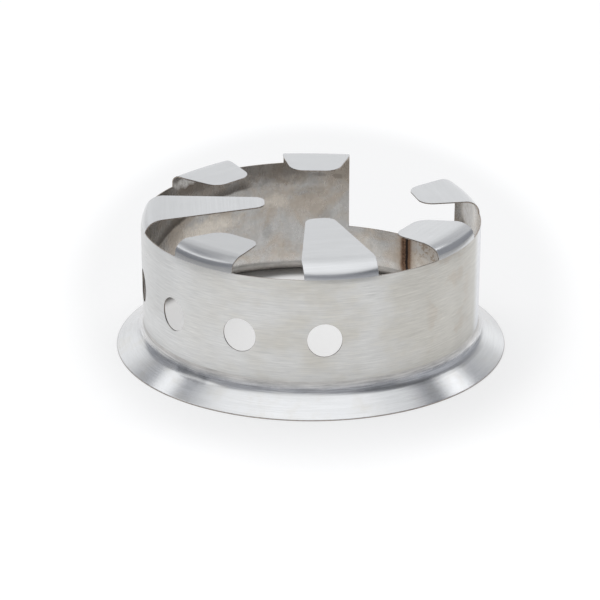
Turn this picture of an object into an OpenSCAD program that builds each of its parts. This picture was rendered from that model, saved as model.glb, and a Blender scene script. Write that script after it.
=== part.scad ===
// Twig stove in stainless steel sheet, in millimetres, +Z up.
// A strip is rolled into a ring and closed by one welded seam under the fuel mouth.
// Its lower edge is flared into a foot, and seven tabs along its upper edge are folded
// inwards to carry a pot: two long tongues and five short tabs.
// The ring stands on the foot's edge at Z = 0, with its axis on Z and the mouth facing -Y.

/* [Ring] */
// Outer diameter of the wall
ring_d = 159.5; // [150:0.5:168]
// Thickness of the sheet
sheet = 0.7; // [0.5:0.1:1]
// Height of the wall's top edge above the ground
rim_h = 61.8; // [54:0.1:75]

/* [Foot] */
// Diameter across the foot's outer edge
foot_d = 185; // [180:1:205]
// Slope of the foot below level, in degrees
foot_slope = 34; // [26:1:42]
// Outer radius of the cove between the wall and the foot
cove_r = 8; // [4:0.5:10]
// Height of the foot's upright outer edge
toe_h = 0.4; // [0.1:0.1:0.5]

/* [Fuel mouth] */
// Width of the mouth, straight across
mouth_w = 64.8; // [50:0.1:75]
// Height of the mouth's sill above the ground
sill_h = 28.5; // [22:0.5:40]

/* [Seam] */
// Width of the weld bead
bead_w = 2.4; // [1.6:0.1:4]
// How far the bead stands proud of the wall's inner face
bead_crown = 0.3; // [0.1:0.05:0.6]
// Distance of the seam from the middle of the mouth, along the wall
seam_shift = 2; // [-8:0.5:8]

/* [Air holes] */
// Number of air holes, centred on the side away from the mouth
hole_count = 4; // [2:1:6]
// Diameter of an air hole
hole_d = 16; // [10:0.5:20]
// Height of the holes' centres above the ground
hole_h = 33; // [28:0.5:42]
// Spacing of the holes along the wall
hole_pitch = 38.4; // [26:0.1:42]

/* [Tabs] */
// Width of every tab where it leaves the wall
tab_w = 33.2; // [28:0.1:36]
// Outer radius of the fold, which starts at the wall's top edge
fold_r = 6.6; // [4:0.1:9]
// Distance from the wall's outer face to where a tab starts to narrow
shoulder = 9.5; // [6:0.5:12]
// Radius that eases the tab's edge where it starts to narrow
shoulder_r = 15; // [5:1:25]

/* [Short tabs] */
// Reach of a short tab, from the wall's outer face
short_reach = 28.5; // [24:0.5:34]
// Width of a short tab at its tip, before its corners are rounded
short_tip_w = 22.4; // [18:0.1:26]
// Radius of a short tab's corners
short_corner_r = 8; // [3:0.5:8.5]
// How far a short tab is folded past level, in degrees
short_dip = 3.5; // [0:0.5:6]

/* [Long tabs] */
// Reach of a long tab, from the wall's outer face
long_reach = 58; // [44:0.5:62]
// Width of a long tab at its tip, before its corners are rounded
long_tip_w = 12.6; // [11:0.1:18]
// Radius of a long tab's corners
long_corner_r = 5.3; // [2:0.1:5.5]
// How far a long tab stops short of level, in degrees
long_rise = 2; // [0:0.5:4]

/* [Hidden] */
$fn = 180;

// Clearance that lets a cutter pass fully through a face
past = 1;
// Steps of the arc that rounds a corner
corner_steps = 8;
// How far the edges of the bead stand proud of both faces of the wall
bead_lip = 0.05;
// Angle by which a bend's section begins before its start
bend_lead = 2;

ring_r = ring_d / 2;
inner_r = ring_r - sheet;
foot_r = foot_d / 2;
tab_top = rim_h + fold_r;

// The cove ends where the foot's slope begins, and the wall ends where the cove begins
cove_end_r = ring_r + cove_r * (1 - sin(foot_slope));
cove_end_h = toe_h + (foot_r - cove_end_r) * tan(foot_slope);
wall_foot = cove_end_h + cove_r * cos(foot_slope);

// The mouth faces -Y, and the tabs stand at equal steps from one side of it to the other
mouth_angle = -90;
mouth_half_angle = asin(mouth_w / 2 / ring_r);
tab_half_angle = asin(tab_w / 2 / ring_r);
tab_count = 7;
first_tab = mouth_half_angle + tab_half_angle;
tab_step = (360 - 2 * first_tab) / (tab_count - 1);

seam_angle = mouth_angle + along_wall(seam_shift);
hole_step = along_wall(hole_pitch);
first_hole = mouth_angle + 180 - hole_step * (hole_count - 1) / 2;

bright_steel = [0.78, 0.79, 0.80];
brushed_steel = [0.72, 0.72, 0.71];
tinted_steel = [0.42, 0.33, 0.26];

// Angle round the ring that a length along the wall takes up
function along_wall(length) = length / ring_r * 180 / PI;

function unit(v) = v / norm(v);

// Points of the arc of radius r that rounds the corner b between a and c
function rounded(a, b, c, r) =
    let (
        u = unit(a - b),
        v = unit(c - b),
        half = acos(u * v) / 2,
        centre = b + unit(u + v) * r / sin(half),
        start = b + u * r / tan(half) - centre,
        turn = (u[0] * v[1] - u[1] * v[0] > 0 ? -1 : 1) * (180 - 2 * half),
        from = atan2(start[1], start[0])
    )
    [for (i = [0 : corner_steps])
        centre + r * [cos(from + turn * i / corner_steps), sin(from + turn * i / corner_steps)]];

// Half of a tab's outline in plan, from the wall to the tip, with +X pointing outwards
function tab_edge(reach, tip_w, corner_r) =
    let (
        side = tab_w / 2,
        wall = [ring_r + past, side],
        neck = [ring_r - shoulder, side],
        tip = [ring_r - reach, tip_w / 2],
        middle = [ring_r - reach, 0]
    )
    concat([wall], rounded(wall, neck, tip, shoulder_r), rounded(neck, tip, middle, corner_r));

module tab_plan(reach, tip_w, corner_r) {
    edge = tab_edge(reach, tip_w, corner_r);
    last = len(edge) - 1;
    polygon(concat(edge, [for (i = [0 : last]) [edge[last - i][0], -edge[last - i][1]]]));
}

// Section of a sheet that starts at [inside_r, 0], heading along +Y, turns anticlockwise
// round the origin through the angle turn, and then runs straight. The bend begins a little
// before its start, where the caller cuts it off square
module bend_section(inside_r, turn, run) {
    outside_r = inside_r + sheet;
    far = 2 * outside_r;
    rotate(turn) {
        intersection() {
            difference() {
                circle(r = outside_r);
                circle(r = inside_r);
            }
            polygon([
                [0, 0],
                [far * cos(turn + bend_lead), -far * sin(turn + bend_lead)],
                [far, -far],
                [far, 0]
            ]);
        }
        translate([inside_r, 0]) square([sheet, run]);
    }
}

// Section of a tab: it turns inwards at the top of the wall
module fold_section(fold_angle, reach) {
    translate([ring_r - fold_r, rim_h])
        bend_section(fold_r - sheet, fold_angle, reach - fold_r + past);
}

module tab(reach, tip_w, corner_r, fold_angle) {
    intersection() {
        rotate_extrude() fold_section(fold_angle, reach);
        translate([0, 0, rim_h])
            linear_extrude(height = 4 * fold_r)
                tab_plan(reach, tip_w, corner_r);
    }
}

// Turns its children to the place of a tab, counted anticlockwise from the mouth
module at_tab(index) {
    rotate([0, 0, mouth_angle + first_tab + index * tab_step]) children();
}

module short_tab(index) {
    color(bright_steel) at_tab(index)
        tab(short_reach, short_tip_w, short_corner_r, 90 + short_dip);
}

module long_tab(index) {
    color(bright_steel) at_tab(index)
        tab(long_reach, long_tip_w, long_corner_r, 90 - long_rise);
}

module ring_band(low, high) {
    translate([0, 0, low]) difference() {
        cylinder(r = ring_r, h = high - low);
        translate([0, 0, -past]) cylinder(r = inner_r, h = high - low + 2 * past);
    }
}

// Space between the facing edges of the two tabs beside the mouth, from the sill up
module mouth_cut() {
    apex = tab_w / 2 / sin(first_tab);
    far = foot_r;
    rotate([0, 0, mouth_angle]) translate([0, 0, sill_h])
        linear_extrude(height = tab_top)
            polygon([
                [apex, 0],
                [far, -(far - apex) * tan(first_tab)],
                [far, (far - apex) * tan(first_tab)]
            ]);
}

// Upright slot that the weld bead fills
module seam_slot(low, high) {
    rotate([0, 0, seam_angle])
        translate([0, -bead_w / 2, low])
            cube([foot_r + past, bead_w, high - low]);
}

module air_holes() {
    for (i = [0 : hole_count - 1])
        rotate([0, 0, first_hole + i * hole_step])
            translate([ring_r - hole_d / 2, 0, hole_h])
                rotate([0, 90, 0])
                    cylinder(d = hole_d, h = hole_d);
}

// Section of the flared foot: the cove, then the slope, cut level underneath
module foot_section() {
    intersection() {
        translate([ring_r + cove_r, wall_foot])
            rotate(180) bend_section(cove_r, 90 - foot_slope, foot_d);
        square([foot_r, wall_foot]);
    }
}

module wall_band() {
    color(brushed_steel) difference() {
        ring_band(wall_foot, rim_h);
        mouth_cut();
        air_holes();
        seam_slot(wall_foot - past, sill_h + past);
    }
}

module foot_flange() {
    color(bright_steel) difference() {
        rotate_extrude() foot_section();
        seam_slot(-past, wall_foot + past);
    }
}

// Bead on the wall: crowned inside, nearly flat outside
module wall_bead() {
    arc_h = bead_crown - bead_lip;
    arc_r = (pow(bead_w / 2, 2) + pow(arc_h, 2)) / (2 * arc_h);
    crown_x = inner_r - bead_crown;
    low = wall_foot - bead_crown;
    rotate([0, 0, seam_angle]) translate([crown_x, 0, low])
        linear_extrude(height = sill_h - low)
            intersection() {
                translate([arc_r, 0]) circle(r = arc_r);
                translate([-past, -bead_w / 2])
                    square([past + bead_crown + sheet + bead_lip, bead_w]);
            }
}

// The weld stands proud of the wall and is pressed flush where the foot is flared
module seam_weld() {
    color(tinted_steel) {
        wall_bead();
        intersection() {
            rotate_extrude() foot_section();
            seam_slot(-past, wall_foot + past);
        }
    }
}

module short_tab_front_right() {
    short_tab(0);
}

module short_tab_right() {
    short_tab(1);
}

module long_tab_rear_right() {
    long_tab(2);
}

module short_tab_rear() {
    short_tab(3);
}

module long_tab_rear_left() {
    long_tab(4);
}

module short_tab_left() {
    short_tab(5);
}

module short_tab_front_left() {
    short_tab(6);
}

wall_band();
foot_flange();
seam_weld();
short_tab_front_right();
short_tab_right();
long_tab_rear_right();
short_tab_rear();
long_tab_rear_left();
short_tab_left();
short_tab_front_left();
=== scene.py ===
import math
from itertools import groupby
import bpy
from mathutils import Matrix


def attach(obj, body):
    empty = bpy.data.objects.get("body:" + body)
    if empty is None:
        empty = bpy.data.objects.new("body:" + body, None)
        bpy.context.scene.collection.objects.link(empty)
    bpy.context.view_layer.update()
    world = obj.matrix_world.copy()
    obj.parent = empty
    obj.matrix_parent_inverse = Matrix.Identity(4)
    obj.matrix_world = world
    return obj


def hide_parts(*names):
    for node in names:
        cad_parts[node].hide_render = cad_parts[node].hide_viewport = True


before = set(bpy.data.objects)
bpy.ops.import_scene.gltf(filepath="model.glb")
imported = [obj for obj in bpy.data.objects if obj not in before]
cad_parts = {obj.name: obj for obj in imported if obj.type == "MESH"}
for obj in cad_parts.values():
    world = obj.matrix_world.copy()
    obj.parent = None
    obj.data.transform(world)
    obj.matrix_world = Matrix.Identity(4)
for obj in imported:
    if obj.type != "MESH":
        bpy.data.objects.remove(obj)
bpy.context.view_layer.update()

from types import SimpleNamespace as Look

import bpy
import numpy as np
from mathutils import Matrix, Vector
from mathutils.geometry import delaunay_2d_cdt

# Sizes of the part's source, in millimetres and degrees
RING_R = 159.5 / 2
SHEET = 0.7
RIM_H = 61.8
FOOT_R = 185 / 2
SLOPE = math.radians(34)
COVE_R = 8.0
TOE_H = 0.4
MOUTH_W = 64.8
SILL_H = 28.5
BEAD_W = 2.4
SEAM_SHIFT = 2.0
HOLE_COUNT = 4
HOLE_H = 33.0
TAB_W = 33.2
SHOULDER = 9.5
SHOULDER_R = 15.0
SHORT = dict(reach=28.5, tip_w=22.4, corner_r=8.0)
LONG = dict(reach=58.0, tip_w=12.6, corner_r=5.3)

# Sizes that follow the photo more closely than the source does
HOLE_R = 7.85
HOLE_PITCH = 39.05
HOLE_SHIFT = 0.63
TAB_TOP = 68.4

COVE_END_R = RING_R + COVE_R * (1 - math.sin(SLOPE))
COVE_END_H = TOE_H + (FOOT_R - COVE_END_R) * math.tan(SLOPE)
WALL_FOOT = COVE_END_H + COVE_R * math.cos(SLOPE)
HALF_TAB = TAB_W / 2
MOUTH = -math.pi / 2
FIRST_TAB = math.asin(MOUTH_W / 2 / RING_R) + math.asin(HALF_TAB / RING_R)
TAB_STEP = (2 * math.pi - 2 * FIRST_TAB) / 6
SEAM = MOUTH + SEAM_SHIFT / RING_R
SEAM_HALF = math.asin(BEAD_W / 2 / RING_R)
FIRST_HOLE = MOUTH + math.pi + (HOLE_SHIFT - HOLE_PITCH * (HOLE_COUNT - 1) / 2) / RING_R

# Metres in a millimetre, and metres along the wall in one degree
MM = 0.001
DEGREE = math.radians(RING_R * MM)
TINY = 1e-6

# Radius that breaks every cut edge of the sheet, and the angles of that rounding
EDGE = 0.16
ROUND = [math.pi / 6, math.pi / 3, math.pi / 2]
RIM_CUT = RIM_H - EDGE
SILL_CUT = SILL_H - EDGE

# The wall leans in under some of the folds: the radius at which it begins to, where that fades
# out on both sides of the tab's edge, and how far from a tab it is looked for, in radians
LEAN_R = 45.0
LEAN_BEFORE = 3.0
LEAN_BEYOND = 5.0
LEAN_ZONE = 0.5

# Step along a fold's section, and the share of its tight radius over which it eases in
FOLD_STEP = 0.02
FOLD_EASE = 0.25

# Name, kind, then the fold along the tab's middle line: the outer radius off the wall, the
# angle at which the wide bend takes over, its radius, the angle at which the plate lies, and
# how far the wall leans in before the fold
TABS = [
    ("short_tab_front_right", SHORT, 5.0, 50, 9.0, 93.5, 0),
    ("short_tab_right", SHORT, 4.5, 50, 9.0, 93.5, 0),
    ("long_tab_rear_right", LONG, 9.0, 60, 11.5, 88.0, 0),
    ("short_tab_rear", SHORT, 4.5, 50, 11.0, 93.5, 8),
    ("long_tab_rear_left", LONG, 5.5, 45, 15.0, 89.0, 3),
    ("short_tab_left", SHORT, 5.0, 55, 13.0, 93.5, 8),
    ("short_tab_front_left", SHORT, 7.5, 60, 10.0, 93.5, 0),
]
LAST_TAB = len(TABS) - 1

OUTER, INNER, CUT = 0, 1, 2
UP = Vector((0, 0, 1))


def between(a, b, count):
    """Evenly spaced values from a to b in so many steps, both ends included."""
    return [a + (b - a) * i / count for i in range(count + 1)]


# Places across a tab and round the ring, from one side of the seam to the other
ACROSS = between(-1, 1, 18)
SPOKES = between(SEAM + SEAM_HALF, SEAM - SEAM_HALF + 2 * math.pi, 180)


def smooth(t):
    t = min(1.0, max(0.0, t))
    return t * t * (3 - 2 * t)


def tangent_out(n, b):
    """b, with what points along n taken out."""
    return b - n * b.dot(n)


def new_object(name, data):
    o = bpy.data.objects.new(name, data)
    bpy.context.scene.collection.objects.link(o)
    return o


class Sheet:
    """Collects vertices with their normals and faces with their material slots."""

    def __init__(self):
        self.co, self.no = [], []
        self.faces, self.slots = [], []

    def add(self, p, n):
        self.co.append(p)
        self.no.append(n)
        return len(self.co) - 1

    def row(self, points, normals):
        return [self.add(p, n) for p, n in zip(points, normals)]

    def face(self, ids, slot):
        self.faces.append(ids)
        self.slots.append(slot)

    def band(self, a, b, slot, closed=False):
        """Quads between two rows of equal length."""
        count = len(a) if closed else len(a) - 1
        for i in range(count):
            j = (i + 1) % len(a)
            self.face((a[i], a[j], b[j], b[i]), slot)

    def facing(self, ids):
        """The face's vertices, in the order that turns it the way of its normals."""
        co, no = self.co, self.no
        flat = (co[ids[2]] - co[ids[0]]).cross(co[ids[-1]] - co[ids[1]])
        return ids if flat.dot(sum((no[i] for i in ids), Vector())) >= 0 else ids[::-1]

    def build(self, name, materials):
        me = bpy.data.meshes.new(name)
        me.from_pydata([p * MM for p in self.co], [], [self.facing(ids) for ids in self.faces])
        for m in materials:
            me.materials.append(m)
        for poly, slot in zip(me.polygons, self.slots):
            poly.material_index = slot
            poly.use_smooth = True
        me.normals_split_custom_set_from_vertices([n.normalized() for n in self.no])
        me.validate()
        return new_object(name, me)


class Fold:
    """Section of a folded tab. The crease is straight, but the wall below it is curved, so the
    section is largest on the tab's middle line and shrinks towards its sides."""

    def __init__(self, tight, split_deg, wide, end_deg, lean_deg):
        split, end, lean = (math.radians(v) for v in (split_deg, end_deg, lean_deg))
        lead, first, second = LEAN_R * lean, tight * (split - lean), wide * (end - split)
        soft = int(FOLD_EASE * tight / FOLD_STEP)
        s = np.arange(0, lead + first + second, FOLD_STEP)
        bent = np.where(s < lead, 1 / LEAN_R, np.where(s < lead + first, 1 / tight, 1 / wide))
        bent = np.concatenate([np.zeros(2 * soft), bent, np.zeros(2 * soft)])
        window = np.hanning(2 * soft + 3)
        bent = np.convolve(bent, window / window.sum(), "same")
        turn = np.concatenate([[0], np.cumsum(bent)])
        turn = turn / turn[-1] * end
        mid = (turn[1:] + turn[:-1]) / 2
        self.s = np.arange(len(turn)) * FOLD_STEP
        self.inward = np.concatenate([[0], np.cumsum(np.sin(mid)) * FOLD_STEP])
        self.rise = np.concatenate([[0], np.cumsum(np.cos(mid)) * FOLD_STEP])
        self.travel = self.inward[-1]
        self.end = end
        self.crease_x = RING_R - self.travel
        self.crease_z = TAB_TOP - (self.rise.max() - self.rise[-1])

    def scale(self, y):
        return (math.sqrt(RING_R**2 - y**2) - self.crease_x) / self.travel

    def start(self, y):
        return self.crease_z - self.rise[-1] * self.scale(y)

    def length(self, y):
        return self.s[-1] * self.scale(y)

    def at(self, y, s):
        """Distance from the ring's axis and height, y across the tab and s up the fold."""
        x_wall = math.sqrt(RING_R**2 - y**2)
        if s <= 0:
            return x_wall, self.start(y) + s
        k = self.scale(y)
        x = x_wall - k * float(np.interp(s / k, self.s, self.inward))
        return x, self.start(y) + k * float(np.interp(s / k, self.s, self.rise))

    def arc_at(self, y, z):
        """Arc length above the fold's start at height z, below the crease."""
        k = self.scale(y)
        rise = (z - self.start(y)) / k
        if rise <= 0:
            return rise * k
        top = int(np.argmax(self.rise))
        return k * float(np.interp(rise, self.rise[: top + 1], self.s[: top + 1]))


FOLDS = [Fold(*row[2:]) for row in TABS]


def tab_angle(k):
    return MOUTH + FIRST_TAB + k * TAB_STEP


def wall_radius(phi, z):
    """Outer radius of the wall: where a fold is wide, the wall leans in just below its tab."""
    r = RING_R
    for k, fold in enumerate(FOLDS):
        d = (phi - tab_angle(k) + math.pi) % (2 * math.pi) - math.pi
        if abs(d) > LEAN_ZONE:
            continue
        y = RING_R * math.sin(d)
        if abs(y) > HALF_TAB + LEAN_BEYOND or z <= fold.start(0):
            continue
        held = max(-HALF_TAB, min(HALF_TAB, y))
        fade = smooth((abs(y) - HALF_TAB + LEAN_BEFORE) / (LEAN_BEFORE + LEAN_BEYOND))
        lean = math.sqrt(RING_R**2 - held**2) - fold.at(held, fold.arc_at(held, z))[0]
        r -= (1 - fade) * lean
    return r


def wall_point(phi, z):
    """Point of the wall's outer face and its normal, from the slopes a small step h away."""
    h = 0.05
    r = wall_radius(phi, z)
    dz = (wall_radius(phi, z + h) - wall_radius(phi, z - h)) / (2 * h)
    da = h / RING_R
    dp = (wall_radius(phi + da, z) - wall_radius(phi - da, z)) / (2 * h)
    c, s = math.cos(phi), math.sin(phi)
    n = Vector((c + dp * s, s - dp * c, -dz)).normalized()
    return Vector((r * c, r * s, z)), n


def cut_edge(mesh, top_ids, low_ids, outs, closed=False):
    """Broken and cut edge of the sheet along a run of boundary vertices."""
    tops, lows = [top_ids], [low_ids]
    for rows in (tops, lows):
        ids = rows[0]
        for a in ROUND:
            points, normals = [], []
            for i, b in zip(ids, outs):
                p, n = mesh.co[i], mesh.no[i]
                points.append(p + b * (EDGE * math.sin(a)) - n * (EDGE * (1 - math.cos(a))))
                normals.append(n * math.cos(a) + b.normalized() * math.sin(a))
            rows.append(mesh.row(points, normals))
    for a, b in zip(tops, tops[1:]):
        mesh.band(a, b, OUTER, closed)
    mesh.band(tops[-1], lows[-1], CUT, closed)
    for a, b in zip(lows[::-1], lows[::-1][1:]):
        mesh.band(a, b, INNER, closed)


def unit(v):
    return v / np.linalg.norm(v)


def rounded(a, b, c, r, steps=14):
    """Points of the arc of radius r that rounds the corner b between a and c."""
    u, v = unit(a - b), unit(c - b)
    half = math.acos(float(u @ v)) / 2
    centre = b + unit(u + v) * r / math.sin(half)
    start = b + u * r / math.tan(half) - centre
    at = math.atan2(start[1], start[0])
    turn = (-1 if u[0] * v[1] - u[1] * v[0] > 0 else 1) * (math.pi - 2 * half)
    angles = [at + t for t in between(0, turn, steps)]
    return [centre + r * np.array([math.cos(t), math.sin(t)]) for t in angles]


def tab_outline(reach, tip_w, corner_r):
    """Half outline in plan from the wall to the tip, moved in by EDGE, with outward normals."""
    wall = np.array([RING_R + 1, HALF_TAB])
    neck = np.array([RING_R - SHOULDER, HALF_TAB])
    tip = np.array([RING_R - reach, tip_w / 2])
    mid = np.array([RING_R - reach, 0.0])
    pts = [wall] + rounded(wall, neck, tip, SHOULDER_R) + rounded(neck, tip, mid, corner_r)
    seg = [unit(b - a) for a, b in zip(pts, pts[1:])] + [np.array([0.0, -1.0])]
    out = []
    for p, d in zip(pts, seg[:1] + [a + b for a, b in zip(seg, seg[1:])]):
        d = unit(d)
        n = np.array([d[1], -d[0]])
        if n[1] < 0 or (abs(n[1]) < TINY and n[0] > 0):
            n = -n
        out.append((p - n * EDGE, n))
    return out


def outline_at(outline, x):
    """Half width and outward normal of the outline at distance x from the ring's axis."""
    for (p, n), (q, m) in zip(outline, outline[1:]):
        if q[0] <= x <= p[0] and p[0] > q[0]:
            t = (p[0] - x) / (p[0] - q[0])
            return p[1] * (1 - t) + q[1] * t, unit(n * (1 - t) + m * t)
    p, n = outline[-1] if x < outline[-1][0][0] else outline[0]
    return p[1], n


def make_tab(k, materials, rows=34, pace=(0.55, 0.45), blend=2.5, rounds=4, h=1e-3, side_h=0.02,
             plate_step=1.6, plate_rows=4, corner_share=0.98):
    """A tab: rows up to its crease, paced to lie closer at its root, which takes over from the
    wall's own surface over the length blend. The half width of each row is found in a few
    rounds, and its normals by small steps h and side_h. The plate follows in rows of its own
    up to the tip's corners, where the outline's own points take over."""
    name, kind = TABS[k][:2]
    fold = FOLDS[k]
    outline = tab_outline(**kind)
    phi_k = tab_angle(k)
    tab_c, tab_s = math.cos(phi_k), math.sin(phi_k)
    x_axis, y_axis = Vector((tab_c, tab_s, 0)), Vector((-tab_s, tab_c, 0))
    mesh = Sheet()
    tops, lows, outs = [], [], []

    def add_row(points, normals, flat):
        """Row of both faces, and the two ways out of its ends. flat is the outline's normal."""
        inner = [p - n * SHEET for p, n in zip(points, normals)]
        tops.append(mesh.row(points, normals))
        lows.append(mesh.row(inner, [-n for n in normals]))
        ways = [x_axis * float(flat[0]) + y_axis * (s * float(flat[1])) for s in (-1, 1)]
        ends = zip((normals[0], normals[-1]), ways)
        outs.append([tangent_out(n, way).normalized() for n, way in ends])

    def bend_point(y, f):
        """Point of the stem and the bend, from the root at f = 0 to the crease at f = 1."""
        first = fold.arc_at(y, RIM_CUT)
        s = first + (fold.length(y) - first) * f
        x, z = fold.at(y, s)
        p = x_axis * x + y_axis * y + UP * z
        gone = (s - first) / blend
        if gone < 1:
            wall_p, _ = wall_point(phi_k + math.asin(y / RING_R), RIM_CUT + s - first)
            p = wall_p.lerp(p, smooth(gone))
        return p

    # The stem and the bend
    for f in between(0, 1, rows):
        f = f * (pace[0] + pace[1] * f)
        half, flat = HALF_TAB - EDGE, (0.0, 1.0)
        for _ in range(rounds):
            first = fold.arc_at(half, RIM_CUT)
            x_side = fold.at(half, first + (fold.length(half) - first) * f)[0]
            half, flat = outline_at(outline, x_side)
        low, high = max(0.0, f - h), min(1.0, f + h)
        points, normals = [], []
        for q in ACROSS:
            y = q * half
            along = bend_point(y, high) - bend_point(y, low)
            across = bend_point(y + side_h, f) - bend_point(y - side_h, f)
            points.append(bend_point(y, f))
            normals.append(across.cross(along).normalized())
        add_row(points, normals, flat)
    # beside the rim, the root's corners are cut both sideways and upwards
    if k != 0:
        outs[0][0] += UP
    if k != LAST_TAB:
        outs[0][1] += UP

    # The plate
    x_tip = RING_R - kind["reach"] + EDGE
    corner = [p[0] for p, _ in outline if p[0] < x_tip + kind["corner_r"] * corner_share]
    span = fold.crease_x - max(corner)
    steps = max(plate_rows, int(span / plate_step))
    xs = [fold.crease_x - d for d in between(0, span, steps)[1:-1]]
    slope = math.cos(fold.end) / math.sin(fold.end)
    normal = (x_axis * math.cos(fold.end) + UP * math.sin(fold.end)).normalized()
    for x in xs + sorted(corner, reverse=True):
        half, flat = outline_at(outline, x)
        z = fold.crease_z + (fold.crease_x - x) * slope
        points = [x_axis * x + y_axis * (q * half) + UP * z for q in ACROSS]
        add_row(points, [normal] * len(points), flat)

    for a, b in zip(tops, tops[1:]):
        mesh.band(a, b, OUTER)
    for a, b in zip(lows, lows[1:]):
        mesh.band(b, a, INNER)
    # Round the free edge: up one side, across the tip, down the other
    runs = []
    for face in (tops, lows):
        run = [row[0] for row in face] + face[-1][1:-1] + [row[-1] for row in face[::-1]]
        runs.append(run[::-1])
    out_run = [out[0] for out in outs]
    out_run += [tangent_out(mesh.no[i], -x_axis).normalized() for i in tops[-1][1:-1]]
    out_run += [out[1] for out in outs[::-1]]
    cut_edge(mesh, *runs, out_run[::-1])
    mesh.band(lows[0], tops[0], CUT)
    return mesh.build(name + "_sheet", materials)


# What a point of the wall's outline borders on: another piece, or free space in a direction
# made of so much up and so much anticlockwise round the ring
JOINT = None
ABOVE = (1, 0)


def make_wall(materials, seam_steps=6, side_steps=14, wall_steps=20, hole_points=56,
              end_gap=0.01, side_gap=0.02, sill_gap=1.2, hole_gap=1.3, slack=0.02, zone=0.3):
    """The wall. Steps divide its outline and its height. The gaps keep other points clear of
    the outline's: in radians along it and beside the mouth, in millimetres from the sill and
    the holes. A face lies in a hole by that slack, in a zone of so many radians."""
    mesh = Sheet()
    start, stop = SPOKES[0], SPOKES[-1]
    side = math.asin((HALF_TAB - EDGE) / RING_R)
    mouth_right = tab_angle(0) - side
    mouth_left = tab_angle(LAST_TAB) + side
    verts = []

    def point(phi, z):
        verts.append((phi * RING_R, z))
        return len(verts) - 1

    def level(a, b, z):
        """Points of the outline at height z, clockwise from b to a."""
        phis = [phi for phi in SPOKES[::-1] if a + end_gap < phi < b - end_gap]
        return [(point(phi, z), ABOVE) for phi in phis]

    # The outline, anticlockwise from the seam's bottom end
    seam_z = between(WALL_FOOT, SILL_CUT, seam_steps)[1:-1]
    side_z = between(SILL_CUT, RIM_CUT, side_steps)[1:-1]
    loop = [(point(phi, WALL_FOOT), JOINT) for phi in SPOKES]
    loop += [(point(stop, z), JOINT) for z in seam_z]
    loop.append((point(stop, SILL_CUT), ABOVE))
    loop += level(mouth_left, stop, SILL_CUT)
    loop.append((point(mouth_left, SILL_CUT), (1, 1)))
    loop += [(point(mouth_left, z), (0, 1)) for z in side_z]
    roots = []
    for k in range(LAST_TAB + 1):
        at = tab_angle(k)
        roots.append([at + math.asin(q * (HALF_TAB - EDGE) / RING_R) for q in ACROSS])
    for k in range(LAST_TAB, -1, -1):
        first = (0, 1) if k == LAST_TAB else (1, 1)
        last = (0, -1) if k == 0 else (1, -1)
        ways = [first] + [JOINT] * (len(ACROSS) - 2) + [last]
        loop += [(point(phi, RIM_CUT), way) for phi, way in zip(roots[k][::-1], ways)]
        if k > 0:
            loop += level(roots[k - 1][-1], roots[k][0], RIM_CUT)
    loop += [(point(mouth_right, z), (0, -1)) for z in side_z[::-1]]
    loop.append((point(mouth_right, SILL_CUT), (1, -1)))
    loop += level(start, mouth_right, SILL_CUT)
    loop.append((point(start, SILL_CUT), ABOVE))
    loop += [(point(start, z), JOINT) for z in seam_z[::-1]]
    pairs = list(zip(loop, loop[1:] + loop[:1]))
    edges = [(i, j) for (i, _), (j, _) in pairs]

    holes = []
    for h in range(HOLE_COUNT):
        centre = FIRST_HOLE + h * HOLE_PITCH / RING_R
        centre += 0 if centre > start else 2 * math.pi
        ring = []
        for i in range(hole_points):
            t = 2 * math.pi * i / hole_points
            phi = centre + math.asin((HOLE_R + EDGE) * math.cos(t) / RING_R)
            ring.append(point(phi, HOLE_H + (HOLE_R + EDGE) * math.sin(t)))
        holes.append((centre, ring))
        edges += zip(ring, ring[1:] + ring[:1])

    # Points inside, clear of the outline and the holes, and one more row below the sill
    def in_mouth(phi):
        return not mouth_right + side_gap < phi < mouth_left - side_gap

    def near_hole(phi, z):
        away = [math.hypot((phi - centre) * RING_R, z - HOLE_H) for centre, _ in holes]
        return min(away) < HOLE_R + hole_gap

    for z in between(WALL_FOOT, RIM_CUT, wall_steps)[1:-1]:
        for phi in SPOKES[1:-1]:
            if not near_hole(phi, z) and not (z > SILL_CUT - sill_gap and in_mouth(phi)):
                point(phi, z)
    for phi in filter(in_mouth, SPOKES[1:-1]):
        point(phi, SILL_CUT - sill_gap)

    flat, _, faces, source = delaunay_2d_cdt([Vector(v) for v in verts], edges, [], 0, TINY)[:4]
    index_of = {old: new for new, olds in enumerate(source) for old in olds}

    def inside(x, y):
        if y > SILL_CUT and not mouth_right * RING_R < x < mouth_left * RING_R:
            return False
        if y > RIM_CUT or y < WALL_FOOT or not start * RING_R < x < stop * RING_R:
            return False
        for centre, _ in holes:
            d = x / RING_R - centre
            away = math.hypot(RING_R * math.sin(d), y - HOLE_H)
            if abs(d) < zone and away < HOLE_R + EDGE - slack:
                return False
        return True

    top_ids, low_ids = [], []
    for v in flat:
        p, n = wall_point(v.x / RING_R, v.y)
        top_ids.append(mesh.add(p, n))
        low_ids.append(mesh.add(p - n * SHEET, -n))
    for f in faces:
        c = sum((flat[i] for i in f), Vector((0, 0))) / len(f)
        if inside(c.x, c.y):
            mesh.face(tuple(top_ids[i] for i in f), OUTER)
            mesh.face(tuple(low_ids[i] for i in f), INNER)

    def way_out(i, way):
        """Direction in the sheet's surface that leaves it at a free point of its outline."""
        phi = verts[i][0] / RING_R
        along = Vector((-math.sin(phi), math.cos(phi), 0))
        return tangent_out(mesh.no[top_ids[index_of[i]]], UP).normalized() * way[0] + along * way[1]

    def edge_of(run, outs, closed=False):
        ids = [index_of[i] for i in run]
        cut_edge(mesh, [top_ids[i] for i in ids], [low_ids[i] for i in ids], outs, closed)

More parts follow.
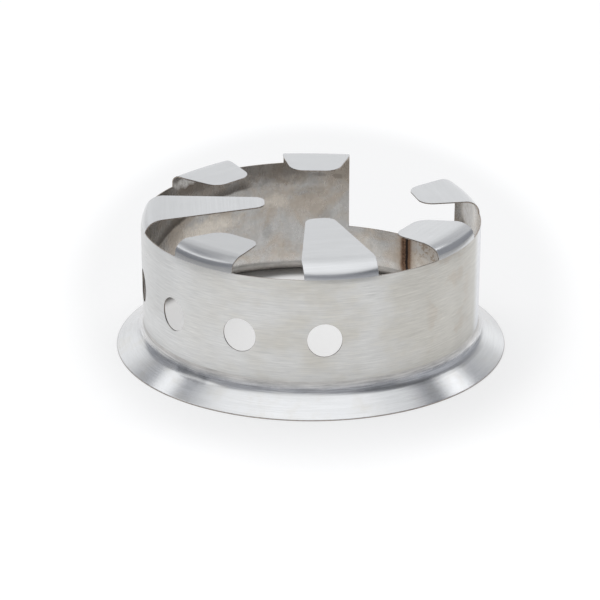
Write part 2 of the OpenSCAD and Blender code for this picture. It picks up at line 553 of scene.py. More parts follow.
    # Free edges get a broken edge, and the joints with other pieces a plain cap
    for joint, run in groupby(loop, lambda entry: entry[1] is JOINT):
        if not joint:
            run = list(run)
            edge_of([i for i, _ in run], [way_out(i, way) for i, way in run])
    for (i, way), (j, other) in pairs:
        if way is JOINT or other is JOINT:
            a, b = index_of[i], index_of[j]
            mesh.face((top_ids[b], top_ids[a], low_ids[a], low_ids[b]), CUT)
    for centre, ring in holes:
        middle = Vector((RING_R * math.cos(centre), RING_R * math.sin(centre), HOLE_H))
        outs = []
        for i in ring[::-1]:
            p, n = wall_point(verts[i][0] / RING_R, verts[i][1])
            outs.append(tangent_out(n, middle - p).normalized())
        edge_of(ring[::-1], outs, True)
    return mesh.build("wall_band_sheet", materials)


# Radius that breaks the foot's upper edge
TOE_EDGE = EDGE * 1.2


def foot_path(cove_steps=22, slope_steps=9):
    """Section of the foot's upper face, from the wall to the toe, as points with normals."""
    rows = []
    for t in between(0, 1, cove_steps):
        a = (math.pi / 2 - SLOPE) * t
        top = (RING_R + COVE_R * (1 - math.cos(a)), WALL_FOOT - COVE_R * math.sin(a))
        rows.append((top, (math.cos(a), math.sin(a))))
    for r in between(COVE_END_R, FOOT_R - TOE_EDGE, slope_steps)[1:]:
        top = (r, COVE_END_H - (r - COVE_END_R) * math.tan(SLOPE))
        rows.append((top, (math.sin(SLOPE), math.cos(SLOPE))))
    return rows


def foot_section(turns=(0.3, 0.65, 1.0), chamfer=0.06, under_h=0.05):
    """Closed section of the foot, from the wall down the upper face and back underneath, with
    the material slot of the strip behind each point."""
    top = foot_path()
    (_, z), (_, nz) = top[-1]
    # the toe's upper corner, its upright face, then the level edge it stands on
    toe = []
    for share in turns:
        a = SLOPE + (math.pi / 2 - SLOPE) * share
        n = (math.sin(a), math.cos(a))
        toe.append(((FOOT_R - TOE_EDGE + TOE_EDGE * n[0], z - TOE_EDGE * nz + TOE_EDGE * n[1]), n))
    toe.append(((FOOT_R, chamfer), (1, 0)))
    toe.append(((FOOT_R - chamfer, 0.0), (0.2, -1)))
    # where the underside reaches the ground
    r_flat = COVE_END_R - SHEET * math.sin(SLOPE) + (
        (COVE_END_H - SHEET * math.cos(SLOPE)) / math.tan(SLOPE)
    )
    toe.append(((r_flat, 0.0), (-0.3, -1)))
    under = [((r - nr * SHEET, z - nz * SHEET), (-nr, -nz)) for (r, z), (nr, nz) in top[::-1]]
    under = [row for row in under if row[0][1] > under_h and row[0][0] < r_flat]
    slots = [OUTER] * (len(top) + 2) + [CUT] * 3 + [INNER] * len(under) + [CUT]
    return top + toe + under, slots


def make_foot(materials):
    mesh = Sheet()
    section, slots = foot_section()
    turns = [(math.cos(phi), math.sin(phi)) for phi in SPOKES]
    rows = []
    for (r, z), (nr, nz) in section:
        points = [Vector((r * c, r * s, z)) for c, s in turns]
        rows.append(mesh.row(points, [Vector((nr * c, nr * s, nz)) for c, s in turns]))
    for a, b, slot in zip(rows, rows[1:] + rows[:1], slots):
        mesh.band(b, a, slot)
    mesh.face(tuple(row[0] for row in rows[::-1]), CUT)
    mesh.face(tuple(row[-1] for row in rows), CUT)
    return mesh.build("foot_flange_sheet", materials)


def bead_point(side, place, normal, t, inside=0.28, outside=0.07, flush=0.02, sink=3, end_h=0.8,
               ends=(0.45, 0.55), pitch=0.9, shift=0.35, depth=0.28, loss=0.4):
    """Point of the bead's skin, t = -1 to 1 across it, over a place of the sheet's section. It
    stands proud inside and outside the wall, sinks until it is flush on the foot, and fades
    towards its end at the sill. Its ripples are shifted between the sides, and weaker at the
    edges."""
    (r, z), (nr, nz) = place, normal
    wall = smooth((z - WALL_FOOT + sink / 2) / sink)
    crown = (inside if side < 0 else outside) * wall + flush
    ripple = 0.5 + 0.5 * math.cos(2 * math.pi * (z + shift * side) / pitch)
    end = smooth((SILL_H - z) / end_h)
    bulge = (1 - t * t) * crown * (ends[0] + ends[1] * end)
    bulge *= 1 - depth * ripple * wall * (1 - loss * t * t)
    r += nr * bulge
    phi = SEAM + math.asin(t * BEAD_W / 2 / r)
    return Vector((r * math.cos(phi), r * math.sin(phi), max(0.0, z + nz * bulge)))


def make_weld(material, rows=66, columns=10, short=0.03, low_z=0.02):
    """The bead, which ends a little short of the foot's edge and of the ground."""
    mesh = Sheet()
    outer = [((RING_R, z), (1.0, 0.0)) for z in between(SILL_H, WALL_FOOT, rows)[:-1]]
    outer += foot_path()
    (_, z), normal = outer[-1]
    outer[-1] = ((FOOT_R - short, z - low_z), normal)
    inner = []
    for (r, z), (nr, nz) in outer:
        inner.append(((r - nr * SHEET, max(low_z, z - nz * SHEET)), (-nr, -nz)))
    sides = []
    for side, path in ((1, outer), (-1, inner)):
        grid = []
        for row in path:
            grid.append([bead_point(side, *row, t) for t in between(-1, 1, columns)])
        sides.append([])
        for j, row in enumerate(grid):
            above, below = grid[max(0, j - 1)], grid[min(len(grid) - 1, j + 1)]
            normals = []
            for i in range(len(row)):
                across = row[min(len(row) - 1, i + 1)] - row[max(0, i - 1)]
                normals.append(((below[i] - above[i]).cross(across) * side).normalized())
            sides[-1].append(mesh.row(row, normals))
    top, low = sides
    for a, b in zip(top, top[1:]):
        mesh.band(b, a, OUTER)
    for a, b in zip(low, low[1:]):
        mesh.band(a, b, OUTER)
    for a, b, c, d in zip(top, top[1:], low, low[1:]):
        mesh.face((a[0], b[0], d[0], c[0]), OUTER)
        mesh.face((b[-1], a[-1], c[-1], d[-1]), OUTER)
    mesh.band(top[0], low[0], OUTER)
    mesh.band(low[-1], top[-1], OUTER)
    return mesh.build("seam_weld_bead", [material])


class Graph:
    """Adds nodes to a tree."""

    def __init__(self, tree):
        self.tree = tree

    def put(self, inputs, values):
        """Fills inputs, by number or by name, with plain values or links."""
        for key, value in values.items():
            if isinstance(value, Value):
                self.tree.links.new(value.socket, inputs[key])
            else:
                inputs[key].default_value = value

    def new(self, kind, values, out=0, **props):
        """An output of a new node."""
        n = self.tree.nodes.new(kind)
        for key, value in props.items():
            setattr(n, key, value)
        self.put(n.inputs, values)
        return Value(self, n.outputs[out])

    def math(self, op, *args):
        return self.new("ShaderNodeMath", dict(enumerate(args)), operation=op)

    def split(self, vector):
        n = self.new("ShaderNodeSeparateXYZ", {0: vector}).socket.node
        return [Value(self, socket) for socket in n.outputs]

    def join(self, x, y, z):
        return self.new("ShaderNodeCombineXYZ", {0: x, 1: y, 2: z})

    def scale(self, vector, factor):
        values = {0: vector, "Scale": factor}
        return self.new("ShaderNodeVectorMath", values, operation="SCALE")


class Value:
    """An output of a node tree, with what can be made of it."""

    def __init__(self, g, socket):
        self.g = g
        self.socket = socket

    def math(self, op, *args):
        return self.g.math(op, self, *args)

    def __abs__(self):
        return self.math("ABSOLUTE")

    def most(self, other):
        return self.math("MAXIMUM", other)

    def swing(self, amount):
        """A noise field's swing about its middle, times an amount."""
        return (self - 0.5) * amount

    def step(self, lo, hi, a=0.0, b=1.0):
        """Smooth step from a at lo to b at hi."""
        values = {"Value": self, "From Min": lo, "From Max": hi, "To Min": a, "To Max": b}
        return self.g.new("ShaderNodeMapRange", values, interpolation_type="SMOOTHSTEP")

    def band(self, rise, fall):
        return self.step(*rise) * self.step(*fall)

    def side(self, middle, *cosines):
        """Smooth step of a direction towards a side, over the cosine of the angle to it."""
        return (self - middle).math("RADIANS").math("COSINE").step(*cosines)

    def ramp(self, stops):
        """Smooth curve through (position, value) stops."""
        lo, hi = stops[0][0], stops[-1][0]
        top = max(v for _, v in stops)
        place = self.g.new("ShaderNodeMapRange", {"Value": self, "From Min": lo, "From Max": hi})
        share = self.g.new("ShaderNodeFloatCurve", {"Value": place})
        mapping = share.socket.node.mapping
        points = mapping.curves[0].points
        while len(points) < len(stops):
            points.new(0.5, 0.5)
        for point, (p, v) in zip(points, stops):
            point.location = ((p - lo) / (hi - lo), v / top)
            point.handle_type = "AUTO"
        mapping.update()
        return share * top

    def noise(self, scale, detail, rough, distortion=0.0):
        values = {"Vector": self, "Scale": scale, "Detail": detail, "Roughness": rough,
                  "Distortion": distortion}
        return self.g.new("ShaderNodeTexNoise", values, "Fac", noise_dimensions="3D")

    def mix(self, a, b):
        """Colour between a and b."""
        return self.g.new("ShaderNodeMix", {0: self, 6: a, 7: b}, 2, data_type="RGBA")

    def blend(self, a, b):
        """Number between a and b."""
        return self.g.new("ShaderNodeMix", {0: self, 2: a, 3: b}, data_type="FLOAT")


for sign, op in (("add", "ADD"), ("sub", "SUBTRACT"), ("mul", "MULTIPLY"), ("truediv", "DIVIDE")):
    setattr(Value, f"__{sign}__", lambda a, b, op=op: a.g.math(op, a, b))
    setattr(Value, f"__r{sign}__", lambda a, b, op=op: a.g.math(op, b, a))


def rgb(r, g, b):
    return (r, g, b, 1.0)


def length(a, b):
    return (a * a + b * b).math("SQRT")


def turned(x, y, c, s):
    """x and y in a frame that is turned by the angle with cosine c and sine s."""
    return x * c + y * s, y * c - x * s


class Place:
    """Position in the shared frame, with distance from the axis and direction round it."""

    def __init__(self, g):
        self.g = g
        self.p = g.new("ShaderNodeTexCoord", {}, "Object")
        self.x, self.y, self.z = g.split(self.p)
        self.r = length(self.x, self.y)
        self.ux, self.uy = self.x / self.r, self.y / self.r
        self.turn = self.uy.math("ARCTAN2", self.ux)
        self.angle = self.turn.math("DEGREES")

    def grains(self, slant, rows):
        """Noise fields stretched round the ring. A row gives a field's frequency along the
        ring and across it, its detail and its roughness."""
        fields = []
        for run, across, *row in rows:
            v = self.g.join(self.ux * run, self.uy * run, slant * across)
            fields.append(v.noise(1.0, *row))
        return fields

    def patches(self, ragged, start, *rows):
        """Largest of start and some soft patches with ragged edges. A row gives a patch's
        middle in degrees and metres, its half width and half height, and its strength."""
        for angle, height, wide, tall, strength in rows:
            away = length((self.angle - angle) / wide, (self.z - height) / tall)
            patch = (away + ragged.swing(PATCH_RAGGED)).step(*PATCH_EDGE)
            start = self.g.math("MAXIMUM", start, patch * strength)
        return start


# How far a patch's edge wanders, and where the patch ends, as shares of its half width
PATCH_RAGGED = 1.6
PATCH_EDGE = (0.35, 1.1, 1.0, 0.0)
# Quarter turn from a surface's tangent to the way in which its grain spreads light
GRAIN_TURN = 0.25


def spread(amounts, *fields):
    """1 plus each noise field's swing about its middle, times its amount."""
    total = 1.0
    for field, amount in zip(fields, amounts):
        total = total + field.swing(amount)
    return total


def brushed_steel(at, bsdf, n, color, tone, rough, height=None, tangent=None):
    """Bare steel whose grain runs along the tangent, with bumps of the given height field."""
    g = at.g
    if tangent is None:
        tangent = g.new("ShaderNodeTangent", {}, direction_type="RADIAL", axis="Z")
    g.put(bsdf, {"Base Color": g.scale(color, tone), "Metallic": 1.0, "Roughness": rough,
                 "Anisotropic": n.anisotropy, "Anisotropic Rotation": GRAIN_TURN,
                 "Tangent": tangent})
    if height is not None:
        strength, distance = n.bump
        values = {"Strength": strength, "Distance": distance, "Height": height}
        g.put(bsdf, {"Normal": g.new("ShaderNodeBump", values)})


def material(name, paint, numbers):
    m = bpy.data.materials.new(name)
    m.use_nodes = True
    bsdf = next(n for n in m.node_tree.nodes if n.type == "BSDF_PRINCIPLED")
    paint(Place(Graph(m.node_tree)), bsdf.inputs, numbers)
    return m


# The numbers of each material are in a table of its own. Grains and patches are rows for the
# functions above. A side gives a direction in degrees, the cosines between which it sets in,
# and the values outside it and in it. Other rows of two or four are smooth steps over metres,
# degrees or noise: where they go from and to, and the values before and after. Amounts say how
# strongly a noise field, a stain or a patch of painted light or shade shows, and a ragged edge
# wanders by such an amount.
# black of the heat tint next to the weld, and of the painted shade on the bead's unlit half
HEAT_BLACK_AND_SHADE = rgb(0.022, 0.017, 0.015)

WALL = Look(
    steel=rgb(0.645, 0.648, 0.646), straw=rgb(0.555, 0.54, 0.502), scorched=rgb(0.34, 0.26, 0.19),
    browned=rgb(0.5, 0.455, 0.4), cool=rgb(0.71, 0.725, 0.755),
    grains=[(6, 4200, 2, 0.6), (9, 1700, 3, 0.65), (3, 420, 2, 0.5), (9, 150, 3, 0.6),
            (4.5, 75, 3, 0.55)],
    tone_amounts=(0.3, 0.5, 0.08, 0.08), streak_amount=0.3, streak=(0.34, 0.72),
    heat_amounts=(0.2, 0.3, 0.6), heat_side=(166, -0.1, 0.85), straw_side=(200, 0.6, 0.97),
    straw_z=(0.018, 0.05, 0.7, 0.6), cool_side=(217, 0.945, 0.985, 1, 0), clean_at=90,
    clean=(8, 32, 1.06, 1), dull_side=(48, 0.8, 0.95, 0, 0.13), dull_z=(0.018, 0.034),
    shaded_side=(192, 0.98, 0.996, 1, 0.93),
    shade_z=[(0.013, 0.94), (0.0145, 0.965), (0.018, 1), (0.03, 1), (0.07, 1)], scorch_ragged=0.006,
    scorch=(0.0012, 0.006, 1, 0), scorch_amount=0.8, brown_side=(181, 0.965, 0.993),
    brown_ragged=0.5, brown=(0.5, 0.68), brown_amount=0.6, rough=0.3, rough_amount=0.1,
    anisotropy=0.6, bump=(0.12, 0.00005),
)


def paint_wall(at, bsdf, n):
    z, angle = at.z, at.angle
    hair, fine, wide, mottle, cloud = at.grains(z, n.grains)
    # straw-coloured heat tint, strongest on the side of the long left tab
    streaks = (cloud + fine.swing(n.streak_amount)).step(*n.streak)
    thin, least, more = n.heat_amounts
    heat = streaks * thin + angle.side(*n.heat_side) * (least + streaks * more)
    low = angle.side(*n.straw_side) * z.step(*n.straw_z)
    # warm falls to 0 near 217 degrees, at the wall's right edge in view, where a painted lighter
    # and bluer reflection is laid on
    warm = angle.side(*n.cool_side)
    heat = heat + low * warm
    # lighter opposite the mouth, and darker high up near the wall's left edge in view; painted
    # shade low down at the cove, and in an upright band at 192 degrees
    clean = abs(angle - n.clean_at).step(*n.clean)
    darker = angle.side(*n.dull_side) * z.step(*n.dull_z)
    tone = spread(n.tone_amounts, hair, fine, wide, mottle) * clean * (1.0 - darker)
    tone = tone * angle.side(*n.shaded_side) * z.ramp(n.shade_z)
    # scorched next to the seam
    off = abs((angle - math.degrees(SEAM)) * DEGREE)
    scorch = (off + cloud.swing(n.scorch_ragged)).step(*n.scorch) * n.scorch_amount
    color = scorch.mix(heat.mix(n.steel, n.straw), n.scorched)
    # brown blotches on the side of the long left tab, and beyond them, at the wall's right edge in
    # view, a painted lighter and bluer reflection
    brown = (cloud + mottle.swing(n.brown_ragged)).step(*n.brown)
    brown = angle.side(*n.brown_side) * warm * brown * n.brown_amount
    color = (1.0 - warm).mix(brown.mix(color, n.browned), n.cool)
    rough = n.rough + wide.swing(n.rough_amount)
    brushed_steel(at, bsdf, n, color, tone, rough, fine)


INSIDE = Look(
    grey=rgb(0.545, 0.54, 0.53), tan=rgb(0.518, 0.466, 0.41), pale=rgb(0.74, 0.69, 0.62),
    under=rgb(0.82, 0.8, 0.77), soot=rgb(0.085, 0.072, 0.062), brown=rgb(0.37, 0.31, 0.25),
    fleck=rgb(0.25, 0.185, 0.13), scraped=rgb(0.97, 0.955, 0.93), heat_wide=rgb(0.33, 0.245, 0.17),
    heat_close=rgb(0.155, 0.088, 0.052), grains=[(6, 2600, 3, 0.7), (16, 110, 4, 0.65)],
    noises=[(62, 4, 0.6, 0.5), (620, 3, 0.7), (170, 4, 0.65)], tone_amounts=(0.16, 0.42, 0.3),
    shade_z=[(0.003, 1.15), (0.0055, 1.08), (0.009, 1.06), (0.0115, 1.12), (0.014, 1.08),
             (0.021, 1)],
    blotch=(0.36, 0.64),
    pale_patches=[(-10, 0.033, 17, 0.008, 1), (-126, 0.055, 9, 0.012, 1),
                  (-39, 0.042, 6, 0.0045, 0.7), (-97, 0.0165, 11, 0.006, 0.4),
                  (-72, 0.0185, 9, 0.007, 0.45)],
    under_z=[(0.003, 1), (0.0075, 0.8), (0.0095, 0.35), (0.0135, 0)],
    # painted shade under the rim, and the clear stretch of it
    rim_ragged=0.012, rim_z=(0.0475, 0.0575), rim_from=(-58, -46, 0.45, 1), clear_at=-126,
    clear=(14, 20), rim_amount=0.62,
    # the painted dark reflection: its lower line as a curve of the second order over the angle, and
    # its ends
    smear_curve=(0.0427, 0.00034, 0.0000022), smear_ragged=0.002, smear_amount=0.8,
    smear_ends=[(-34, -26), (40, 60, 1, 0)], smear=[(-0.0012, 0.0004), (0.0008, 0.006, 1, 0.5)],
    soot_patches=[(-46, 0.0575, 4, 0.0025, 0.5), (-55, 0.0555, 4, 0.0016, 0.5),
                  (-62, 0.055, 3, 0.0022, 0.5), (-120.4, 0.0485, 2.4, 0.0028, 0.5),
                  (-57, 0.034, 4, 0.005, 0.17), (-35.5, 0.026, 2.5, 0.006, 0.17),
                  (-50, 0.046, 8, 0.004, 0.17), (-80, 0.031, 6, 0.014, 0.17)],
    brown_patch=(-101, 0.03, 11, 0.018, 0.3), fleck_patch=(-100, 0.03, 11, 0.016, 1),
    fleck_ragged=1.2, flecks=(0.44, 0.6), fleck_amount=0.8,
    scraped_patches=[(-125.5, 0.056, 7.5, 0.012, 1), (-2.5, 0.0618, 9, 0.0034, 1)],
    scraped_ragged=0.8, scraping=(0.34, 0.5, 0.7, 1),
    # heat tint beside the weld: its middle in degrees off the weld, and its widths
    heat_shift=0.6, heat_ragged=0.0014, heat_far=(0.002, 0.0085, 0.6, 0),
    heat_near=(0.002, 0.0042, 0.95, 0), black=[(-0.0016, -0.0009), (-0.0004, 0.0004, 1, 0)],
    # roughness, and what the mottle, the underside and the pale patches of scraped steel and
    # painted sheen add to it
    rough=0.27, rough_amounts=(0.12, 0.5, 0.14), rough_z=(0.0045, 0.009, 1, 0), scraped_plain=0.9,
    anisotropy=0.5,
)


def paint_inside(at, bsdf, n):
    z, angle = at.z, at.angle
    fine, mottle = at.grains(z, n.grains)
    blotch, speck, ragged = (at.p.noise(*row) for row in n.noises)
    tone = spread(n.tone_amounts, fine, mottle, speck) * z.ramp(n.shade_z)
    color = blotch.step(*n.blotch).mix(n.grey, n.tan)
    color = at.patches(ragged, 0.0, *n.pale_patches).mix(color, n.pale)
    # the flared foot's underside is painted paler: a painted reflection of the lit floor
    color = z.ramp(n.under_z).mix(color, n.under)
    # painted shade under the rim, clear of the front left tab, and a painted dark reflection that
    # runs down on the right
    rim = (z + ragged.swing(n.rim_ragged)).step(*n.rim_z) * angle.step(*n.rim_from)
    rim = rim * abs(angle - n.clear_at).step(*n.clear) * n.rim_amount
    height, slope, bend = n.smear_curve
    line = height - (angle * slope + angle * angle * bend)
    over = z + ragged.swing(n.smear_ragged) - line
    smear = over.band(*n.smear) * angle.band(*n.smear_ends)
    soot = rim.most(smear * n.smear_amount)
    # dark patches in the same colour: high up under the rim they are painted shade, lower down
    # faint dark blotches
    color = at.patches(ragged, soot, *n.soot_patches).mix(color, n.soot)
    # brown specks to the right of the weld, and pale, less metallic patches inside two folds,
    # partly scraped steel and partly a painted reflection
    color = at.patches(ragged, 0.0, n.brown_patch).mix(color, n.brown)
    flecks = (mottle + speck.swing(n.fleck_ragged)).step(*n.flecks)
    flecks = at.patches(ragged, 0.0, n.fleck_patch) * flecks * n.fleck_amount
    color = flecks.mix(color, n.fleck)
    scraped = (speck + mottle.swing(n.scraped_ragged)).step(*n.scraping)
    scraped = at.patches(ragged, 0.0, *n.scraped_patches) * scraped
    color = scraped.mix(color, n.scraped)
    # heat tint beside the weld: brown, then black next to the bead
    off = (angle - (math.degrees(SEAM) - n.heat_shift)) * DEGREE
    off = off + ragged.swing(n.heat_ragged)
    color = abs(off).step(*n.heat_far).mix(color, n.heat_wide)
    color = abs(off).step(*n.heat_near).mix(color, n.heat_close)
    color = off.band(*n.black).mix(color, HEAT_BLACK_AND_SHADE)
    mottled, under, clean = n.rough_amounts
    rough = n.rough + mottle.swing(mottled) + (z.step(*n.rough_z) * under + scraped * clean)
    brushed_steel(at, bsdf, n, color, tone, rough)
    at.g.put(bsdf, {"Metallic": 1.0 - scraped * n.scraped_plain})


TAB = Look(
    steel=(0.622, 0.627, 0.636),
    # hair, fine, wide and waves: frequency along the fold, round the bend and between tabs,
    # then detail and roughness
    grains=[(30, 3600, 7.3, 2, 0.6), (45, 1500, 4.7, 2, 0.6), (14, 330, 3.1, 2, 0.5),
            (90, 260, 5, 2, 0.5)],
    mottle=(75, 3, 0.6), tone_amounts=(0.16, 0.1, 0.04, 0.09),
    shade_index=[(0, 0.98), (1, 0.945), (2, 0.95), (3, 0.8), (4, 0.95), (5, 1), (6, 0.965)],
    dull_index=(2, 0.5), dull_reach=(0.045, 0.072, 0, 0.09), rough=0.215, rough_amount=0.05,
    anisotropy=0.5, bump=(1, 0.00004),
)


def paint_tab(at, bsdf, n):
    g = at.g
    first = MOUTH + FIRST_TAB
    turn = (at.turn + (TAB_STEP / 2 - first + 2 * math.pi)).math("MODULO", 2 * math.pi)
    index = (turn / TAB_STEP).math("FLOOR")
    middle = first + index * TAB_STEP
    c, s = middle.math("COSINE"), middle.math("SINE")
    # along the tab's fold, and round the bend
    reach, along = turned(at.x, at.y, c, s)
    slant = at.z - reach
    fields = []
    for run, across, shift, *row in n.grains:
        fields.append(g.join(along * run, slant * across, index * shift).noise(1.0, *row))
    hair, fine, wide, waves = fields
    tone = spread(n.tone_amounts, hair, fine, wide, at.p.noise(*n.mottle))
    tone = tone * index.ramp(n.shade_index)
    # the long right tab is darker towards its fold
    darker = index.math("COMPARE", *n.dull_index) * reach.step(*n.dull_reach)
    rough = n.rough + wide.swing(n.rough_amount)
    tangent = g.join(s * -1.0, c, 0.0)
    brushed_steel(at, bsdf, n, n.steel, tone * (1.0 - darker), rough, waves, tangent)


FOOT = Look(
    steel=rgb(0.65, 0.654, 0.662), warm=rgb(0.61, 0.603, 0.59), cove=rgb(0.648, 0.632, 0.61),
    grains=[(5, 3600, 2, 0.6), (6, 1300, 3, 0.65), (2.5, 300, 2, 0.5)], mottle=(85, 4, 0.6),
    tone_amounts=(0.12, 0.2, 0.1, 0.12), worn=[(0.0072, 0.0085), (0.0125, 0.0145, 1, 0.35)],
    worn_amounts=(1.1, 0.5), smudge=(87, 0.0081, 9, 0.0022, 0.4), warm_step=(0.45, 0.75),
    cove_z=(0.0085, 0.0132),
    shade_z=[(0.006, 1), (0.0078, 0.95), (0.0092, 0.98), (0.0102, 1.02), (0.011, 0.97),
             (0.0118, 0.9), (0.0126, 0.9), (0.0134, 0.93)],
    rubbed_z=[(0.0058, 1), (0.0067, 0.78), (0.0074, 0.95), (0.0081, 1.3), (0.0088, 1.45),
              (0.0094, 1.35), (0.0101, 1.12), (0.0112, 1)],
    rubbed_side=(180, 0.9, 0.965), rough=(0.2, 0.46), rough_amounts=(0.3, 0.3), anisotropy=0.6,
    bump=(1, 0.00002),
)


def paint_foot(at, bsdf, n):
    z = at.z
    hair, fine, wide = at.grains(at.r - z, n.grains)
    mottle = at.p.noise(*n.mottle)
    # worn streaks in the cove, and a patch of painted shade in the cove below the air holes
    streaked, mottled = n.worn_amounts
    worn = z.band(*n.worn) * (fine.swing(streaked) + mottle.swing(mottled))
    tone = spread(n.tone_amounts, hair, fine, wide, mottle) + worn
    tone = tone * (1.0 - at.patches(mottle, 0.0, n.smudge))
    color = mottle.step(*n.warm_step).mix(n.steel, n.warm)
    # the steel is stretched in the cove and warmer in colour there; painted shade makes it lighter
    # low down and darker where it leaves the wall
    cove = z.step(*n.cove_z)
    color = cove.mix(color, n.cove)
    tone = tone * z.ramp(n.shade_z)
    # on the side of the long left tab the cove gets a painted highlight above a line of painted
    # shade
    tone = tone * at.angle.side(*n.rubbed_side).blend(1.0, z.ramp(n.rubbed_z))
    rough = spread(n.rough_amounts, fine, mottle) * cove.blend(*n.rough)
    brushed_steel(at, bsdf, n, color, tone, rough, fine + wide)


EDGES = Look(
    dark=rgb(0.26, 0.2, 0.16), light=rgb(0.52, 0.46, 0.4), in_holes=rgb(0.09, 0.07, 0.055),
    noise=(1500, 3, 0.6), speck=(0.35, 0.7), holes_y=(0.03, 0.04),
    holes_top=(0.044, 0.046, 0.75, 0), holes_low=(0.015, 0.02), rough=0.42,
)


def paint_cut(at, bsdf, n):
    color = at.p.noise(*n.noise).step(*n.speck).mix(n.dark, n.light)
    holes = at.y.step(*n.holes_y) * at.z.step(*n.holes_top) * at.z.step(*n.holes_low)
    color = holes.mix(color, n.in_holes)
    at.g.put(bsdf, {"Base Color": color, "Metallic": 1.0, "Roughness": n.rough})


BEAD = Look(
    dark=rgb(0.1, 0.055, 0.033), light=rgb(0.25, 0.15, 0.095), noise=(900, 4, 0.65),
    speck=(0.35, 0.65), ragged=0.7, black=(-1, -0.4, 0.95, 0), metallic=0.8, rough=0.5,
)


def paint_weld(at, bsdf, n):
    speck = at.p.noise(*n.noise)
    off = (at.y.math("ARCTAN2", at.x) - SEAM) * RING_R + speck.swing(n.ragged)
    color = speck.step(*n.speck).mix(n.dark, n.light)
    # one half of the bead is painted black, as shade on its unlit side
    color = off.step(*n.black).mix(color, HEAT_BLACK_AND_SHADE)
    at.g.put(bsdf, {"Base Color": color, "Metallic": n.metallic, "Roughness": n.rough})


# Pieces
outside = material("wall_outside", paint_wall, WALL)
inside = material("inside", paint_inside, INSIDE)
tab_top = material("tab_top", paint_tab, TAB)
foot_top = material("foot_top", paint_foot, FOOT)
cut = material("cut_edge", paint_cut, EDGES)
bead = material("weld_bead", paint_weld, BEAD)

pieces = [
    (make_wall([outside, inside, cut]), "wall_band", "wall_steel"),
    (make_foot([foot_top, inside, cut]), "foot_flange", "foot_steel"),
    (make_weld(bead), "seam_weld", "weld_steel"),
]
for k, row in enumerate(TABS):
    pieces.append((make_tab(k, [tab_top, inside, cut]), row[0], "tab_steel"))
for piece, node, slot in pieces:
    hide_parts(node)
    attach(piece, "root")

# Camera: the photo's frame is the shared frame turned by TURN about the ring's axis. The
# camera's place is in metres, its dip below level in degrees, and its focal length and
# picture width in pixels
TURN = math.radians(218.3)
CAMERA_AT = (-0.005115, -0.975697, 0.422992)
CAMERA_DIP = 22.461
FOCAL = 2215.8
PHOTO_W = 600
SENSOR = 36.0
cam = new_object("camera", bpy.data.cameras.new("camera"))
cam.location = Matrix.Rotation(TURN, 3, "Z") @ Vector(CAMERA_AT)
cam.rotation_euler = (math.radians(90 - CAMERA_DIP), 0, TURN)
cam.data.sensor_width = SENSOR
cam.data.lens = FOCAL / PHOTO_W * SENSOR
cam.data.clip_start = 0.01
cam.data.clip_end = 50.0
bpy.context.scene.camera = cam

# The room, by elevation and by azimuth from the photo's depth, right positive, in degrees.
# A ramp gives brightness over elevation, or where it says so an elevation over azimuth
ROOM = Look(
    right=(-6, 6),
    middle=[(0, 0.97), (12, 1), (26, 1.02), (32, 0.98), (40, 1), (50, 1.03), (60, 1.08), (90, 1.2)],
    left_sweep=[(0, 0.88), (5, 0.99), (11, 1.1), (18, 1.12), (24, 1.04), (30, 0.88), (36, 0.76),
                (50, 0.62), (90, 0.5)],
    right_sweep=[(0, 1), (4, 1.16), (10, 1.2), (14, 1.05), (18, 0.88), (24, 0.8), (31, 0.7),
                 (36, 0.66), (50, 0.5), (90, 0.5)],
    beside=(15, 30),
    left_room=[(0, 0.36), (8, 0.36), (20, 0.37), (30, 0.42), (36, 0.43), (44, 0.38), (60, 0.5),
               (90, 0.56)],
    right_room=[(0, 0.34), (8, 0.36), (16, 0.37), (24, 0.38), (32, 0.35), (40, 0.25), (48, 0.17),
                (56, 0.2), (90, 0.5)],
    ahead=[(0, 0.72), (10, 0.66), (20, 0.54), (32, 0.42), (46, 0.43), (60, 0.5), (90, 0.5)],
    left_ahead=(105, 140), right_ahead=(125, 162),
    # ends of the sweep, of which the right one leans
    left_end=(40, 50), right_end=(36, 50), end_lean=(20, 0.6),
    # lamps, by azimuth and elevation: from, to, and softness
    left_lamp=[(-92, -45, 3), (38.5, 46.5, 1)], long_lamp=[(-101, -74, 3), (42, 54, 1.5)],
    right_lamp=[(48.5, 66, 2), (34.5, 43, 1)], lamp_lean=(45, 0.3), lamp_levels=(1.15, 0.8, 1.55),
    # lower edge of the lamp overhead over azimuth, how softly it fades there, its brightness
    # over elevation, and the side of it that is dimmer
    left_edge=[(0, 59), (60, 57), (85, 57), (105, 59), (140, 57), (180, 57)],
    right_edge=[(0, 59), (60, 56), (78, 56.5), (90, 62.5), (140, 62), (180, 57)],
    left_fade=[(0, 7), (100, 7), (140, 13), (180, 11)],
    right_fade=[(0, 7), (60, 5), (140, 6), (180, 11)],
    top=[(50, 1.15), (62, 1.2), (71, 1.25), (80, 1.31), (85, 1.3), (90, 1.31)],
    dim_el=(66, 72, 1, 0), dim=(1.04, 0.96),
    # light is bluer where the room is dark
    tint=(0.35, 0.8), dark=rgb(0.955, 0.985, 1.06), bright=rgb(0.99, 1, 1.01),
)


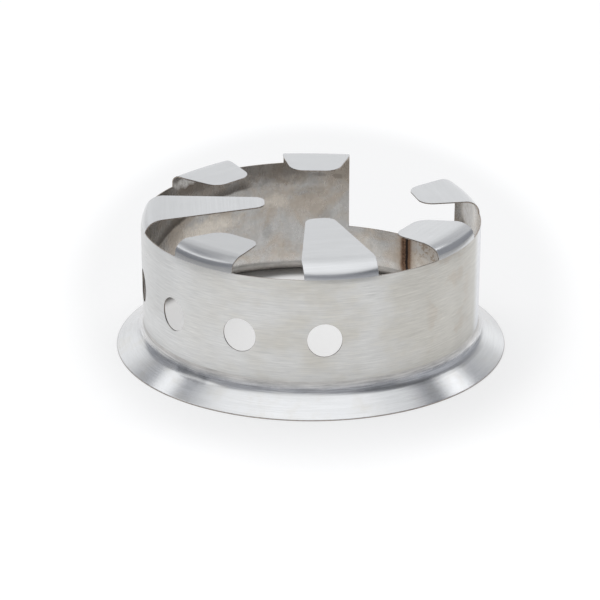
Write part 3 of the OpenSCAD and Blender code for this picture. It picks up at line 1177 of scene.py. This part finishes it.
def make_world():
    w = bpy.data.worlds.new("studio")
    bpy.context.scene.world = w
    w.use_nodes = True
    g, n = Graph(w.node_tree), ROOM
    x, y, z = g.split(g.new("ShaderNodeTexCoord", {}, "Generated"))
    px, py = turned(x, y, math.cos(TURN), math.sin(TURN))
    el = z.math("ARCSINE").math("DEGREES")
    az = px.math("ARCTAN2", py).math("DEGREES")
    side = abs(az)
    right = az.step(*n.right)

    def halves(value, left_stops, right_stops):
        return right.blend(value.ramp(left_stops), value.ramp(right_stops))

    def window(value, lo, hi, soft):
        return value.band((lo - soft, lo + soft), (hi - soft, hi + soft, 1, 0))

    def leaning(value, over, middle, amount):
        return value - (over - middle) * amount

    def lamp(height, across, upright):
        return window(az, *across) * window(height, *upright)

    # a white sweep behind the object, lit brightest low down, that ends sooner on the right
    sweep = halves(el, n.left_sweep, n.right_sweep)
    sweep = side.step(*n.beside).blend(el.ramp(n.middle), sweep)
    # the unlit room to the sides and behind the camera
    ahead = right.blend(side.step(*n.left_ahead), side.step(*n.right_ahead))
    room = ahead.blend(halves(el, n.left_room, n.right_room), el.ramp(n.ahead))
    right_end = leaning(side, el, *n.end_lean).step(*n.right_end)
    level = right.blend(side.step(*n.left_end), right_end).blend(sweep, room)
    # two narrow lamps beside the object, the left one longer
    left_level, long_level, right_level = n.lamp_levels
    left = lamp(el, *n.left_lamp).most(lamp(el, *n.long_lamp) * long_level)
    low = leaning(el, az, *n.lamp_lean)
    level = level + (left * left_level + lamp(low, *n.right_lamp) * right_level)
    # a wide lamp overhead, brightest in its middle
    edge = halves(side, n.left_edge, n.right_edge)
    top = ((el - edge) / halves(side, n.left_fade, n.right_fade)).step(-1.0, 1.0)
    dim = (right * el.step(*n.dim_el)).blend(*n.dim)
    level = top.blend(level, el.ramp(n.top) * dim)
    tint = level.step(*n.tint).mix(n.dark, n.bright)
    background = next(v for v in w.node_tree.nodes if v.type == "BACKGROUND")
    g.put(background.inputs, {"Color": tint, "Strength": level})


# The floor, in metres along the photo's frame. The shadow and the paper are ovals with a
# middle and a half size, across and in depth
FLOOR = Look(
    half=6, white=(0.563, 0.56, 0.557), glow=0.6, rough=0.9, shadow=(0.005, 0.122, 0.095, 0.225),
    shadow_edge=(0.92, 1.15, 0.905, 1), front=(-1.02, -0.8, 1.045, 1),
    # the floor under the foot doesn't glow: how far its inner border is moved in at the back,
    # its borders, and its strength towards the left
    moved_back=(0.05, 0.07), moved=(-0.3, -0.12, 0.0045, 0.0025), inner=(0.08, 0.0872, 0.99, 0),
    inner_left=(-0.66, -0.2, 0.9, 1), outer=(0.0922, 0.093),
    # the paper's half width, how much it widens with depth, then its middle and half depth
    paper=(0.42, 0.35, 2.05, 2.5), paper_edge=(0.98, 1.15, 1, 0.5),
)


def paint_floor(at, bsdf, n):
    g = at.g
    right, deep = turned(at.x, at.y, math.cos(TURN), math.sin(TURN))
    middle, half_wide, back, half_deep = n.shadow
    across, depth = (right - middle) / half_wide, (deep - back) / half_deep
    shade = length(across, depth).step(*n.shadow_edge) * depth.step(*n.front)
    behind = deep.most(0.0)
    inner = at.r + behind.step(*n.moved_back) * across.step(*n.moved)
    inner = inner.step(*n.inner) * across.step(*n.inner_left)
    lit = inner.most(at.r.step(*n.outer))
    half_wide, widening, back, half_deep = n.paper
    paper = length(right / (half_wide + behind * widening), (deep - back) / half_deep)
    paper = paper.step(*n.paper_edge)
    g.put(bsdf, {"Base Color": g.scale(n.white, shade * paper),
                 "Emission Color": rgb(1.0, 1.0, 1.0),
                 "Emission Strength": shade * lit * paper * n.glow,
                 "Roughness": n.rough, "Specular IOR Level": 0.0})


make_world()

me = bpy.data.meshes.new("floor")
corners = [(x * FLOOR.half, y * FLOOR.half, 0) for x, y in ((-1, -1), (1, -1), (1, 1), (-1, 1))]
me.from_pydata(corners, [], [(0, 1, 2, 3)])
me.materials.append(material("floor_white", paint_floor, FLOOR))
floor = new_object("floor", me)

bpy.context.scene.view_settings.view_transform = "Standard"
